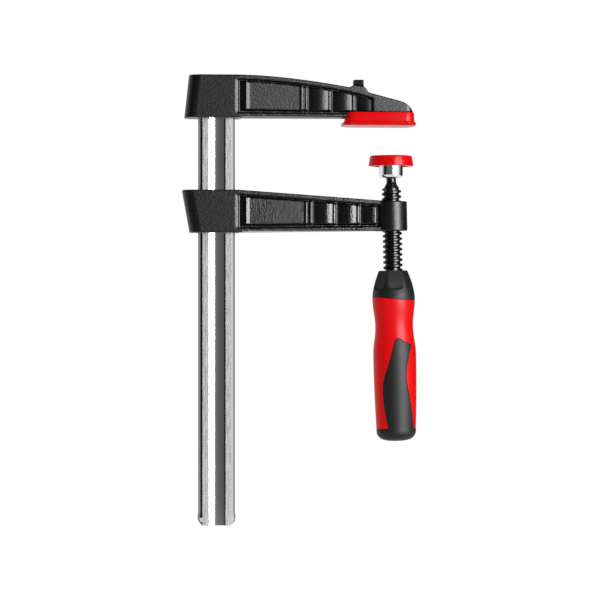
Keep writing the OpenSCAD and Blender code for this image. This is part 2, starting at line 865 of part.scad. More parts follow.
// Stations along the handle, closer together in its rounded end
handle_steps = concat(
    [for (i = [0 : 5]) handle_top + collar_len * i / 6],
    [for (i = [0 : 5]) collar_end + waist_len * i / 6],
    [for (i = [0 : 5]) waist_s + belly_len * i / 6],
    [for (i = [0 : 5]) belly_s + (tail_s - belly_s) * i / 6],
    [for (i = [0 : 7]) tail_s + end_cap_len * sin(90 * i / 7)]
);

// The handle's whole body, grown or shrunk along its radius
module handle_body(grow = 0) {
    rotate_extrude()
        polygon(concat(
            [[0, -handle_top]],
            [for (s = handle_steps) if (handle_r(s) + grow > 0) [handle_r(s) + grow, -s]],
            [[0, -handle_end]]
        ));
}

// Everything above or below the collar's slanted lower edge
module collar_side(up) {
    size = 4 * handle_len;
    translate([0, 0, -collar_end - (up ? 0 : fit_gap)])
        rotate([0, collar_slant, 0])
            translate([-size / 2, -size / 2, up ? 0 : -size])
                cube(size);
}

// Outline of a grip panel on the handle's side, as [across, along from the belly], grown by a gap
panel_points = [
    [-1, -12], [2, -13], [7, -10], [11.9, -8], [10.4, -2], [8, 8], [7.3, 17], [9.9, 33], [12.4, 52],
    [14, 66], [-7, 66], [-8.6, 56], [-10.6, 38], [-11.2, 27], [-10.2, 18], [-7, 8], [-4, -2]
];
function grown(pts, d) = [
    for (i = [0 : len(pts) - 1])
        let (
            n = len(pts),
            along = pts[(i + 1) % n] - pts[(i + n - 1) % n],
            out = [-along[1], along[0]] / norm(along)
        )
        pts[i] + d * out
];

// The space of both grip panels, from the given depth under the handle's surface outwards
module panel_space(depth, grow) {
    stretch = (tail_s - belly_s) / 56;
    pts = [for (p = panel_points) [p[0], -belly_s - p[1] * (p[1] > 0 ? stretch : 1)]];
    for (turn = [0, 180])
        rotate([0, 0, turn])
            difference() {
                rotate([90, 0, 0])
                    linear_extrude(height = 2 * belly_r)
                        polygon(grown(closed_curve(pts), grow));
                handle_body(-depth);
            }
}

module handle_collar() {
    color("#3a3a3c")
        on_spindle()
            difference() {
                intersection() {
                    handle_body();
                    collar_side(true);
                }
                for (i = [0 : 5])
                    rotate([0, 0, 60 * i - 90 + flat_turn])
                        translate([0, 0, -handle_top - flat_len])
                            upright(2 * shoulder_r)
                                polygon([
                                    [collar_flat, 0], [2 * shoulder_r, 0], [2 * shoulder_r, 2 * flat_len],
                                    [collar_flat - 2 * flat_len * tan(flat_lean), 2 * flat_len]
                                ]);
                translate([0, 0, -rod_end - fit_gap])
                    cylinder(r = thread_r + fit_gap, h = rod_end);
                tang(fit_gap);
            }
}

module handle_core() {
    color("red")
        on_spindle()
            difference() {
                intersection() {
                    handle_body();
                    collar_side(false);
                    translate([-2 * belly_r, -2 * belly_r, -tail_s + fit_gap])
                        cube([4 * belly_r, 4 * belly_r, handle_len]);
                }
                panel_space(grip_t + grip_gap, grip_gap);
                tang(fit_gap);
            }
}

module soft_grip() {
    color("#3a3a3c")
        on_spindle()
            union() {
                intersection() {
                    handle_body();
                    translate([-2 * belly_r, -2 * belly_r, -tail_s - handle_len])
                        cube([4 * belly_r, 4 * belly_r, handle_len]);
                }
                intersection() {
                    panel_space(grip_t, 0);
                    handle_body(grip_proud);
                }
            }
}

rail();
fixed_jaw();
jaw_cap();
sliding_jaw();
spindle();
retaining_ring();
pressure_plate();
pad_cap();
handle_core();
handle_collar();
soft_grip();
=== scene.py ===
# %% [markdown]
# # A screw clamp from the workbench
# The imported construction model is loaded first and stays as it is. Each piece made below is modelled in
# metres at its real place, rides on one of the model's bodies and stands for one of its solids.

# %% Load the frame
import json
import math

import bmesh
import bpy
from mathutils import Matrix, Vector


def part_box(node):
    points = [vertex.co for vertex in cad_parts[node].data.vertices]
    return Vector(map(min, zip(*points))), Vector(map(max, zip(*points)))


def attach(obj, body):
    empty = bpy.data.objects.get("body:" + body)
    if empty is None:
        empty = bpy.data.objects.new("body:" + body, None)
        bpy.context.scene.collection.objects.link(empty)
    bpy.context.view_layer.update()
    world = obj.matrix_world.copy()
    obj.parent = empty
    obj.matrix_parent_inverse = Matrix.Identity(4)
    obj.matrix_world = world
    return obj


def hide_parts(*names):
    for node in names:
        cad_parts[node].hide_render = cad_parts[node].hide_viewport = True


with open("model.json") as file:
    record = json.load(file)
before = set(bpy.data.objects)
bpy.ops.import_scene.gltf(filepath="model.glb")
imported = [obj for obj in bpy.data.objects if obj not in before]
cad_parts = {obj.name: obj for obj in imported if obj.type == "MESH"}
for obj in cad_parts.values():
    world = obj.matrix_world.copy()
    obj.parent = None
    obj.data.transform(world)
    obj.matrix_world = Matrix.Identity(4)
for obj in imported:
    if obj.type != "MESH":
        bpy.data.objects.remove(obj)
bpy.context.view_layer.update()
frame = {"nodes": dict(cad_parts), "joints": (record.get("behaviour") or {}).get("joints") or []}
MM = 0.001

# %% [markdown]
# The photograph was taken from far away with a long lens, level with the middle of the rail and a few
# degrees from the side, so upright edges stay upright. A camera two metres away that sees a width of
# 456 mm gives the same drawing, with no shift.

# %% Camera
aim = Vector((-69.5, 0, -131.5)) * MM
distance = 2.0
view_width = 456 * MM
turn = math.radians(-4)
camera = bpy.data.objects.new("camera", bpy.data.cameras.new("camera"))
bpy.context.collection.objects.link(camera)
camera.data.lens = camera.data.sensor_width * distance / view_width
camera.location = aim + distance * Vector((math.sin(turn), -math.cos(turn), 0))
camera.rotation_euler = (math.pi / 2, 0, turn)
bpy.context.scene.camera = camera
print("camera lens:", round(camera.data.lens, 1), "mm")

# %% [markdown]
# ## Helpers for materials
# A colour is written as the sRGB value that a picture editor shows, and one function turns it into the
# linear value that the renderer works with. The second function starts a material, with every constant
# on the shader's own socket, and the third adds one node with its settings and links.

# %% Material helpers
def srgb(code):
    channels = [int(code[i:i + 2], 16) / 255 for i in (1, 3, 5)]
    return (*[c / 12.92 if c <= 0.04045 else ((c + 0.055) / 1.055) ** 2.4 for c in channels], 1.0)


def finish(name, **constants):
    material = bpy.data.materials.new(name)
    material.use_nodes = True
    shader = material.node_tree.nodes["Principled BSDF"]
    for socket, value in constants.items():
        shader.inputs[socket.replace("_", " ")].default_value = value
    return material, material.node_tree, shader


def add(tree, kind, inputs, **settings):
    node = tree.nodes.new(kind)
    for name, value in settings.items():
        setattr(node, name, value)
    for socket, value in inputs.items():
        if isinstance(value, bpy.types.NodeSocket):
            tree.links.new(value, node.inputs[socket])
        else:
            node.inputs[socket].default_value = value
    return node.outputs


print("the photograph's red is", [round(c, 3) for c in srgb("#e41c20")[:3]], "in linear light")

# %% [markdown]
# ## From a bmesh to a piece
# Every shape starts as a bmesh and ends here. Doubles are merged, normals are turned outwards, edges
# sharper than the given angle stay crisp and all others are shaded smooth. Then the piece is hung on the
# body that it rides on, gets its materials, and the solid of the model that it stands for is hidden.

# %% Piece helper
def piece(bm, name, body, materials, crisp=35, place=Matrix()):
    bmesh.ops.remove_doubles(bm, verts=bm.verts, dist=0.002 * MM)
    bmesh.ops.recalc_face_normals(bm, faces=bm.faces)
    bmesh.ops.transform(bm, matrix=place, verts=bm.verts)
    for face in bm.faces:
        face.smooth = True
    for edge in bm.edges:
        edge.smooth = edge.calc_face_angle(0) < math.radians(crisp)
    mesh = bpy.data.meshes.new(name)
    bm.to_mesh(mesh)
    bm.free()
    return dress(mesh, name, body, materials)


def dress(mesh, name, body, materials):
    made = bpy.data.objects.new(name, mesh)
    bpy.context.collection.objects.link(made)
    for material in materials:
        mesh.materials.append(material)
    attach(made, body)
    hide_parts(name.removesuffix("_look"))
    print(name, "has", len(mesh.polygons), "faces")
    return made

# %% [markdown]
# ## Rail
# The rail is cold-drawn steel: the bar is pulled through a die, which leaves a round trough on both wide
# faces, and is then zinc plated. Its lands stay grainy and light, the die polishes the troughs and the
# chamfers until they mirror the room, and the flanks, which were rolled and not drawn, stay dull. The
# grain of the lands is about a millimetre wide and a little drawn out along the bar. The marks in the
# troughs are long and thin, so their noise is stretched much more.

# %% Zinc-plated steel, grainy, drawn and dull
def zinc(name, patch_mm, tones, rough_range, depth_mm):
    metal, tree, shader = finish(name, Metallic=1.0)
    spot = add(tree, "ShaderNodeTexCoord", {})["Object"]
    per_patch = [1 / (v * MM) for v in patch_mm]
    stretched = add(tree, "ShaderNodeMapping", {"Vector": spot, "Scale": per_patch})[0]
    grain = add(tree, "ShaderNodeTexNoise", {"Vector": stretched, "Scale": 1.0, "Detail": 3.0})[0]
    pair = {"Factor": grain, "A": srgb(tones[0]), "B": srgb(tones[1])}
    tone = add(tree, "ShaderNodeMix", pair, data_type="RGBA")["Result"]
    low, high = rough_range
    rough = add(tree, "ShaderNodeMapRange", {"Value": grain, "To Min": low, "To Max": high})[0]
    bump = add(tree, "ShaderNodeBump", {"Height": grain, "Strength": 0.35, "Distance": depth_mm * MM})[0]
    tree.links.new(tone, shader.inputs["Base Color"])
    tree.links.new(rough, shader.inputs["Roughness"])
    tree.links.new(bump, shader.inputs["Normal"])
    return metal


land = zinc("zinc_plated_steel_grainy", (0.9, 0.9, 9), ("#b2b3b4", "#dadadb"), (0.22, 0.32), 0.008)
drawn = zinc("zinc_plated_steel_drawn", (0.5, 0.5, 60), ("#b8b9ba", "#eaeaeb"), (0.07, 0.13), 0.002)
dull = zinc("zinc_plated_steel_dull", (0.8, 0.8, 6), ("#8e8f91", "#acadae"), (0.46, 0.6), 0.05)
print("finishes:", land.name, drawn.name, dull.name)

# %% [markdown]
# The section is drawn once for the front half and mirrored. A single vertex, spun round the axis of the
# trough, makes its arc. Beside it come the land, a chamfer and a flank that bulges a little. The filled
# section is extruded along the whole rail. The die leaves crisp edges between land, trough and chamfer,
# so they get no bevel.

# %% Rail section and bar
rail_low, rail_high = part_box("rail")
rail_mid = (rail_low.x + rail_high.x) / 2
rail_w = 28 * MM
rail_t = 13 * MM
trough_w = 13.4 * MM
trough_d = 2.0 * MM
trough_r = (trough_w ** 2 / 4 + trough_d ** 2) / (2 * trough_d)
trough_y = trough_d - rail_t / 2 - trough_r
corner = [(3.2, 6.5), (1.6, 5.45), (0.7, 4.1), (0.15, 2.2), (0, 0)]

bm = bmesh.new()
rim = bm.verts.new((rail_mid - trough_w / 2, -rail_t / 2, rail_low.z))
arc_made = bmesh.ops.spin(
    bm, geom=[rim], cent=(rail_mid, trough_y, 0), axis=(0, 0, -1),
    angle=2 * math.asin(trough_w / 2 / trough_r), steps=24)
far_rim = next(v for v in arc_made["geom_last"] if isinstance(v, bmesh.types.BMVert))
for side, last in ((-1, rim), (1, far_rim)):
    for inset, out in corner:
        point = bm.verts.new((rail_mid + side * (rail_w / 2 - inset * MM), -out * MM, rail_low.z))
        bm.edges.new((last, point))
        last = point
bmesh.ops.mirror(bm, geom=bm.verts[:] + bm.edges[:], merge_dist=0.01 * MM, axis="Y")
section = bmesh.ops.contextual_create(bm, geom=bm.edges[:])["faces"]
top = bmesh.ops.extrude_face_region(bm, geom=section)["geom"]
top_verts = [v for v in top if isinstance(v, bmesh.types.BMVert)]
bar_length = rail_high.z - rail_low.z - 1 * MM
bmesh.ops.translate(bm, verts=top_verts, vec=(0, 0, bar_length))
print("rail bar:", len(bm.faces), "faces")

# %% [markdown]
# At the lower end the corners are sheared off, and just above them the narrow sides are upset into a bead
# that stops the sliding jaw. Cuts across the bar make rings of vertices there, and a cosine pushes the
# rings out. At the top the bar is hammered into a wedge that locks it in the fixed jaw: a cube with its
# lower end drawn in.

# %% Rail ends
bead_mid = rail_low.z + 6.2 * MM
bead_half = 3.6 * MM
bead_out = 0.5 * MM
land_end = rail_w / 2 - corner[0][0] * MM
corner_cut = 3.2 * MM
for i in range(9):
    level = bead_mid + bead_half * (i / 4 - 1)
    bmesh.ops.bisect_plane(
        bm, geom=bm.verts[:] + bm.edges[:] + bm.faces[:], plane_co=(0, 0, level), plane_no=(0, 0, 1))
for vert in bm.verts:
    reach = abs(vert.co.z - bead_mid) / bead_half
    across = vert.co.x - rail_mid
    if reach < 1 and abs(across) > land_end:
        vert.co.x += math.copysign(bead_out * (1 + math.cos(math.pi * reach)) / 2, across)
for side in (-1, 1):
    bmesh.ops.bisect_plane(
        bm, geom=bm.verts[:] + bm.edges[:] + bm.faces[:], plane_no=(side, 0, -1), clear_outer=True,
        plane_co=(rail_mid + side * (rail_w / 2 - corner_cut), 0, rail_low.z))
    bmesh.ops.holes_fill(bm, edges=[e for e in bm.edges if e.is_boundary])
for face in bm.faces:
    flat = abs(face.normal.y) > 0.995 and abs(face.calc_center_median().x - rail_mid) > trough_w / 2
    side_on = abs(face.normal.x) > 0.75 or abs(face.normal.z) > 0.5
    face.material_index = 0 if flat else 2 if side_on else 1

head_h = 7 * MM
head_round = 0.6 * MM
wedge = bmesh.ops.create_cube(bm, size=1.0)["verts"]
bmesh.ops.scale(bm, vec=(rail_high.x - rail_low.x, rail_high.y - rail_low.y, head_h), verts=wedge)
bmesh.ops.translate(bm, vec=(rail_mid, 0, rail_high.z - head_h / 2), verts=wedge)
foot = [v for v in wedge if v.co.z < rail_high.z - head_h / 2]
bmesh.ops.scale(bm, vec=(0.75, 0.5, 1), space=Matrix.Translation((-rail_mid, 0, 0)), verts=foot)
rim_edges = [e for e in bm.edges if all(v.co.z > rail_high.z - 0.01 * MM for v in e.verts)]
bmesh.ops.bevel(
    bm, geom=rim_edges, offset=head_round, affect="EDGES", segments=3, profile=0.5, material=-1)
piece(bm, "rail_look", "frame", [land, drawn, dull], crisp=20)

# %% [markdown]
# ## Castings
# Both jaws are malleable iron, cast in sand and powder coated black. Sand rounds every edge by about a
# millimetre, and the coat flows over the grain of the mould, so the faces glitter a little. The arm of
# the sliding jaw is left as it comes from coarse sand, so it glitters more than its heel and its boss.

# %% Black powder coat over sand-cast iron
def powder_coat(name, grain_mm, depth_mm, low, high, shine):
    coat, tree, shader = finish(name, Specular_IOR_Level=shine)
    spot = add(tree, "ShaderNodeTexCoord", {})["Object"]
    per_grain = 1 / (grain_mm * MM)
    grain = add(tree, "ShaderNodeTexNoise", {"Vector": spot, "Scale": per_grain, "Detail": 4.0})[0]
    cloud = add(tree, "ShaderNodeTexNoise", {"Vector": spot, "Scale": 1 / (16 * MM), "Detail": 2.0})[0]
    pair = {"Factor": cloud, "A": srgb("#0a0a0b"), "B": srgb("#111112")}
    tone = add(tree, "ShaderNodeMix", pair, data_type="RGBA")
    rough = add(tree, "ShaderNodeMapRange", {"Value": grain, "To Min": low, "To Max": high})[0]
    bump = add(tree, "ShaderNodeBump", {"Height": grain, "Strength": 0.7, "Distance": depth_mm * MM})[0]
    tree.links.new(tone["Result"], shader.inputs["Base Color"])
    tree.links.new(rough, shader.inputs["Roughness"])
    tree.links.new(bump, shader.inputs["Normal"])
    return coat


coat_smooth = powder_coat("black_powder_coat_on_cast_iron", 1.5, 0.19, 0.27, 0.38, 0.3)
coat_sandy = powder_coat("black_powder_coat_on_sandy_iron", 1.2, 0.3, 0.09, 0.16, 0.36)
print("finishes:", coat_smooth.name, coat_sandy.name)

# %% [markdown]
# The construction model has the true shape of the castings with sharp edges. A copy of its mesh is merged
# and cut along the parting line. From there the underside of the arms rises by a few degrees to both
# sides, so that the pattern comes out of the sand, and at that slant it mirrors the white sweep. The copy
# is remeshed in cubes of about half a millimetre, which keeps a casting below 200,000 triangles, and a
# few smoothing passes then round all edges alike, as the sand does. The result is applied, so that no
# live modifier is left.

# %% Castings with edges rounded by the sand
heel_end = -116.5 * MM
arm_end = -11.6 * MM
draft = math.tan(math.radians(6))
cube_size = 0.55 * MM
rounding_passes = 3


def lean_arm(bm, middle):
    cuts = [((0, 0, 0), (0, 1, 0))] + [((heel_end + step * MM, 0, 0), (1, 0, 0)) for step in (1, 3)]
    for point, normal in cuts:
        whole = bm.verts[:] + bm.edges[:] + bm.faces[:]
        bmesh.ops.bisect_plane(bm, geom=whole, plane_co=point, plane_no=normal)
    bm.normal_update()
    for vert in bm.verts:
        below = vert.co.z < middle and any(face.normal.z < -0.7 for face in vert.link_faces)
        if below and heel_end + 2 * MM < vert.co.x < arm_end:
            vert.co.z += draft * abs(vert.co.y)


def sand_cast(node, middle):
    bm = bmesh.new()
    bm.from_mesh(frame["nodes"][node].data)
    bmesh.ops.remove_doubles(bm, verts=bm.verts, dist=0.002 * MM)
    lean_arm(bm, middle)
    mesh = bpy.data.meshes.new(node)
    bm.to_mesh(mesh)
    bm.free()
    rough_cast = bpy.data.objects.new(node + "_pattern", mesh)
    bpy.context.collection.objects.link(rough_cast)
    remesh = rough_cast.modifiers.new("sand", "REMESH")
    remesh.mode = "VOXEL"
    remesh.voxel_size = cube_size
    soften = rough_cast.modifiers.new("round", "SMOOTH")
    soften.factor = 0.5
    soften.iterations = rounding_passes
    evaluated = rough_cast.evaluated_get(bpy.context.evaluated_depsgraph_get())
    shaped = bpy.data.meshes.new_from_object(evaluated)
    bpy.data.objects.remove(rough_cast)
    shaped.name = node + "_look"
    for face in shaped.polygons:
        face.use_smooth = True
    return shaped


for node, body, middle in (("fixed_jaw", "frame", 16), ("sliding_jaw", "sliding_jaw", -66)):
    shaped = sand_cast(node, middle * MM)
    for face in shaped.polygons:
        face.material_index = int(node == "sliding_jaw" and heel_end < face.center.x < arm_end)
    dress(shaped, node + "_look", body, [coat_smooth, coat_sandy])

# %% [markdown]
# ## Red caps
# Both caps are moulded from a tough red plastic that doesn't mark the work. The mould is lightly etched,
# so the highlights are soft. A real etch is too fine to show here, so it is drawn half a millimetre wide.

# %% Moulded red plastic
cap_red, tree, shader = finish("moulded_red_plastic", Specular_IOR_Level=0.1)
spot = add(tree, "ShaderNodeTexCoord", {})["Object"]
etch = add(tree, "ShaderNodeTexNoise", {"Vector": spot, "Scale": 1 / (0.5 * MM), "Detail": 2.0})[0]
cloud = add(tree, "ShaderNodeTexNoise", {"Vector": spot, "Scale": 1 / (12 * MM), "Detail": 2.0})[0]
pair = {"Factor": cloud, "A": srgb("#d8060b"), "B": srgb("#e2080e")}
tone = add(tree, "ShaderNodeMix", pair, data_type="RGBA")
rough = add(tree, "ShaderNodeMapRange", {"Value": cloud, "To Min": 0.18, "To Max": 0.26})[0]
bump = add(tree, "ShaderNodeBump", {"Height": etch, "Strength": 0.2, "Distance": 0.02 * MM})[0]
tree.links.new(tone["Result"], shader.inputs["Base Color"])
tree.links.new(rough, shader.inputs["Roughness"])
tree.links.new(bump, shader.inputs["Normal"])
print("finish:", cap_red.name)

# %% [markdown]
# The cap of the fixed jaw is a shallow tray that snaps over the foot of the casting. It starts as one
# square with its corners rounded by a vertex bevel, which is extruded down step by step: each step gives
# the height, where the rear and the front end lie, and half the width. The last steps make the pillow of
# the clamping face, which is flat in the middle.

# %% Jaw cap
cap_steps = [
    (10.8, -33.8, 16.7, 14.9), (4.0, -35.7, 17.0, 15.1), (3.6, -36.0, 17.2, 15.3), (3.4, -36.8, 17.7, 15.9),
    (2.9, -37.3, 18.1, 16.3), (1.1, -37.4, 18.1, 16.3), (0.8, -37.1, 17.8, 16.0), (0.6, -35.0, 16.6, 14.6),
    (0.42, -30.0, 15.4, 12.8), (0.26, -24.0, 14.0, 10.2), (0.12, -17.0, 11.5, 7.4), (0.0, -9.0, 8.0, 4.6),
]
cap_corner = 6.9 * MM
cap_wall = 1.9 * MM
cap_depth = 8.1 * MM
cap_rim_round = 0.4 * MM

bm = bmesh.new()
tray = bmesh.ops.create_grid(bm, x_segments=1, y_segments=1, size=0.5)["verts"]
height, rear, front, half = [v * MM for v in cap_steps[0]]
bmesh.ops.scale(bm, vec=(front - rear, 2 * half, 1), verts=tray)
bmesh.ops.translate(bm, vec=((front + rear) / 2, 0, height), verts=tray)
bmesh.ops.bevel(
    bm, geom=tray, offset=cap_corner, affect="VERTICES", segments=10, profile=0.5, material=-1)
face = bm.faces[:][0]
for step in cap_steps[1:]:
    next_height, next_rear, next_front, next_half = [v * MM for v in step]
    moved = bmesh.ops.extrude_face_region(bm, geom=[face])["geom"]
    face = next(g for g in moved if isinstance(g, bmesh.types.BMFace))
    about = Matrix.Translation((-(front + rear) / 2, 0, 0))
    stretch = (next_front - next_rear) / (front - rear)
    bmesh.ops.scale(bm, vec=(stretch, next_half / half, 1), space=about, verts=face.verts)
    shift = (next_front + next_rear - front - rear) / 2
    bmesh.ops.translate(bm, vec=(shift, 0, next_height - height), verts=face.verts)
    height, rear, front, half = next_height, next_rear, next_front, next_half
rim_face = max(bm.faces, key=lambda f: f.calc_center_median().z)
bmesh.ops.inset_region(bm, faces=[rim_face], thickness=cap_wall)
pocket = bmesh.ops.extrude_face_region(bm, geom=[rim_face])["geom"]
bmesh.ops.translate(
    bm, vec=(0, 0, -cap_depth), verts=[v for v in pocket if isinstance(v, bmesh.types.BMVert)])
rim_level = (cap_steps[0][0] - 0.01) * MM
rim_edges = [
    e for e in bm.edges if all(v.co.z > rim_level for v in e.verts) and e.calc_face_angle(0) > 1]
bmesh.ops.bevel(
    bm, geom=rim_edges, offset=cap_rim_round, affect="EDGES", segments=3, profile=0.5, material=-1)
piece(bm, "jaw_cap_look", "frame", [cap_red], crisp=50)

# %% [markdown]
# ## What turns round the spindle
# The spindle leans a little towards the rail, so that the jaws come parallel under load. Its axis is read
# from the frame's own joint. The round pieces are modelled upright with the centre of the ball at the
# origin, as outlines of radius and height in millimetres that are spun once round, and one matrix then
# moves what turns with the screw to its place.

# %% Spindle axis and lathe
joints = {joint["name"]: joint for joint in frame["joints"]}
ball_centre = Vector(joints["spindle_turn"]["pos_m"])
screw_axis = Vector(joints["spindle_turn"]["axis"])
upright = Vector((0, 0, 1))
pad_place = Matrix.Translation(ball_centre)
screw_place = pad_place @ upright.rotation_difference(screw_axis).to_matrix().to_4x4()


def lathe(bm, outline, steps=96):
    verts = [bm.verts.new((r * MM, 0, z * MM)) for r, z in outline]
    edges = [bm.edges.new(pair) for pair in zip(verts, verts[1:])]
    bmesh.ops.spin(
        bm, geom=verts + edges, cent=(0, 0, 0), axis=(0, 0, 1), angle=math.tau, steps=steps, use_merge=True)


def arc(r0, z0, radius, start, end, steps=6):
    angles = [math.radians(start + (end - start) * i / steps) for i in range(steps + 1)]
    return [(r0 + radius * math.cos(a), z0 + radius * math.sin(a)) for a in angles]


print("ball centre:", [round(v / MM, 1) for v in ball_centre], "mm")

# %% [markdown]
# ## Pressure pad
# A turned steel plate with a hub snaps on the ball of the spindle, and a red cap snaps on the plate. The
# plate is bright zinc plated over fine turning rings, so it mirrors the studio in upright bands. The
# rings are too fine to show one by one, so they are drawn about half a millimetre apart.

# %% Bright zinc on turned steel
bright, tree, shader = finish("bright_zinc_on_turned_steel", Metallic=1.0, Base_Color=srgb("#e2e3e6"))
spot = add(tree, "ShaderNodeTexCoord", {})["Object"]
per_ring = (1 / (30 * MM), 1 / (30 * MM), 1 / (0.5 * MM))
rings = add(tree, "ShaderNodeMapping", {"Vector": spot, "Scale": per_ring})[0]
cut = add(tree, "ShaderNodeTexNoise", {"Vector": rings, "Scale": 1.0, "Detail": 2.0})[0]
rough = add(tree, "ShaderNodeMapRange", {"Value": cut, "To Min": 0.06, "To Max": 0.16})[0]
bump = add(tree, "ShaderNodeBump", {"Height": cut, "Strength": 0.1, "Distance": 0.02 * MM})[0]
tree.links.new(rough, shader.inputs["Roughness"])
tree.links.new(bump, shader.inputs["Normal"])

hub_r = 9.1
hub_low = -6.9
hub_round = 3.2
plate_r = 14.4
plate_top = 7.85
plate_low = 4.35
bm = bmesh.new()
lathe(bm, [
    (0, 5.9), (5.9, 3.0), (6.2, -3.6), (5.1, -5.9), (4.9, hub_low + 0.3),
    *arc(5.3, hub_low + 0.4, 0.4, 180, 270, 4),
    *arc(hub_r - hub_round, hub_low + hub_round, hub_round, 270, 360, 12), (hub_r, plate_low - 0.6),
    *arc(hub_r + 0.6, plate_low - 0.6, 0.6, 180, 90, 4), (plate_r - 0.4, plate_low),
    *arc(plate_r - 0.4, plate_low + 0.4, 0.4, 270, 360, 3),
    *arc(plate_r - 0.4, plate_top - 0.4, 0.4, 0, 90, 3),
    (11.6, plate_top), (10.5, plate_top - 0.5), (0, plate_top - 0.6),
])
piece(bm, "pressure_plate_look", "pressure_pad", [bright], place=pad_place)

# %% [markdown]
# The cap of the pad is a flat red cup, a little wider at its open edge, with a lip that hooks behind the
# plate. It is spun as one closed outline, so the wall has its real thickness.

# %% Pad cap
pad_top = 10.5
pad_r = 16.1
pad_flare = 1.1
pad_h = 8.0
bm = bmesh.new()
lathe(bm, [
    (0, pad_top - 2.6), (plate_r + 0.05, pad_top - 2.6), (plate_r + 0.05, pad_top - 6.2),
    (13.2, pad_top - 6.4), (13.0, pad_top - pad_h + 0.3), (13.3, pad_top - pad_h),
    *arc(pad_r + pad_flare - 0.3, pad_top - pad_h + 0.3, 0.3, 270, 360, 4),
    *arc(pad_r - 1.1, pad_top - 1.1, 1.1, 5, 90, 8), (9, pad_top), (0, pad_top),
])
piece(bm, "pad_cap_look", "pressure_pad", [cap_red], place=pad_place, crisp=50)

# %% [markdown]
# ## Spindle
# The thread is rolled, not cut, and the steel is then blackened in hot salts. That leaves a smooth, very
# dark skin with bright glints on every crest, because the oil that it is dipped in fills its pores.

# %% Blackened rolled steel
black_oxide, tree, shader = finish("black_oxide_on_rolled_steel", Specular_IOR_Level=0.3)
spot = add(tree, "ShaderNodeTexCoord", {})["Object"]
oil = add(tree, "ShaderNodeTexNoise", {"Vector": spot, "Scale": 1 / (3 * MM), "Detail": 3.0})[0]
pair = {"Factor": oil, "A": srgb("#08080a"), "B": srgb("#121214")}
tone = add(tree, "ShaderNodeMix", pair, data_type="RGBA")
rough = add(tree, "ShaderNodeMapRange", {"Value": oil, "To Min": 0.16, "To Max": 0.3})[0]
tree.links.new(tone["Result"], shader.inputs["Base Color"])
tree.links.new(rough, shader.inputs["Roughness"])
print("finish:", black_oxide.name)

# %% [markdown]
# The thread is one pitch of its outline, spun many turns while each step climbs a little: the end of
# one turn then meets the start of the next, and both open ends are closed. On the lathe the first thread
# is chamfered, so vertices near the neck are held inside a cone. The ball with its neck and the shank in
# the handle are plain lathe shapes.

# %% Thread, neck and ball
pitch = 4.0
turns = 15.5
turn_steps = 48
thread_r = 7.45
root_r = 5.75
thread_low = -79.2
thread_top = -13.6
chamfer_slope = 1.4
ball_r = 5.6
neck_r = 3.65
shank_length = 90
profile = [
    (0, root_r), (0.27, root_r), (0.33, root_r + 0.2), (0.44, thread_r - 0.2), (0.5, thread_r),
    (0.8, thread_r), (0.86, thread_r - 0.2), (0.97, root_r + 0.2), (1, root_r),
]
bm = bmesh.new()
verts = [bm.verts.new((r * MM, 0, (thread_low + pitch * share) * MM)) for share, r in profile]
edges = [bm.edges.new(pair) for pair in zip(verts, verts[1:])]
bmesh.ops.spin(
    bm, geom=verts + edges, cent=(0, 0, 0), axis=(0, 0, 1), angle=math.tau * turns,
    dvec=(0, 0, pitch * MM / turn_steps), steps=int(turns * turn_steps), use_merge=False)
for vert in bm.verts:
    radius = vert.co.xy.length
    cone = (root_r - 0.1) * MM + chamfer_slope * (thread_top * MM - 0.2 * MM - vert.co.z)
    if radius > cone:
        vert.co.xy *= cone / radius
bmesh.ops.remove_doubles(bm, verts=bm.verts, dist=0.002 * MM)
bmesh.ops.holes_fill(bm, edges=[e for e in bm.edges if e.is_boundary])
core_r = root_r - 0.02
lathe(bm, [
    (0, ball_r), *arc(0, 0, ball_r, 80, -48, 16), (neck_r, -5.2), (neck_r, -8.4), (3.8, -10.0),
    (4.25, -11.4), (5.0, -12.7), (5.6, -13.6), (core_r, -14.4), (core_r, -17.6), (0, -17.6),
], steps=64)
lathe(bm, [
    (0, thread_low + 3.9), (core_r, thread_low + 3.9),
    (core_r, thread_low - shank_length), (0, thread_low - shank_length),
], steps=32)
piece(bm, "spindle_look", "screw", [black_oxide], place=screw_place)

# %% [markdown]
# The spring ring that keeps the ball in the hub can't be seen from outside. Its solid stays, and only
# gets the look of plain spring wire, drawn smooth and slightly oily.

# %% Spring wire
wire, tree, shader = finish("drawn_spring_wire", Metallic=1.0, Base_Color=srgb("#9a9b9e"))
spot = add(tree, "ShaderNodeTexCoord", {})["Object"]
oil = add(tree, "ShaderNodeTexNoise", {"Vector": spot, "Scale": 1 / (2 * MM), "Detail": 2.0})[0]
rough = add(tree, "ShaderNodeMapRange", {"Value": oil, "To Min": 0.25, "To Max": 0.4})[0]
tree.links.new(rough, shader.inputs["Roughness"])
ring_mesh = frame["nodes"]["retaining_ring"].data
ring_mesh.materials.clear()
ring_mesh.materials.append(wire)
print("finish:", wire.name)

# %% [markdown]
# ## Handle
# The handle is moulded in two shots: a hard red core, and a soft black rubber round its neck, its end and
# its sides. The red comes from a polished mould and has a clear upright highlight. The rubber is etched,
# so it stays dull and shows only a broad sheen. Both grains are finer on the real handle, and are drawn
# more than half a millimetre wide so that they show.

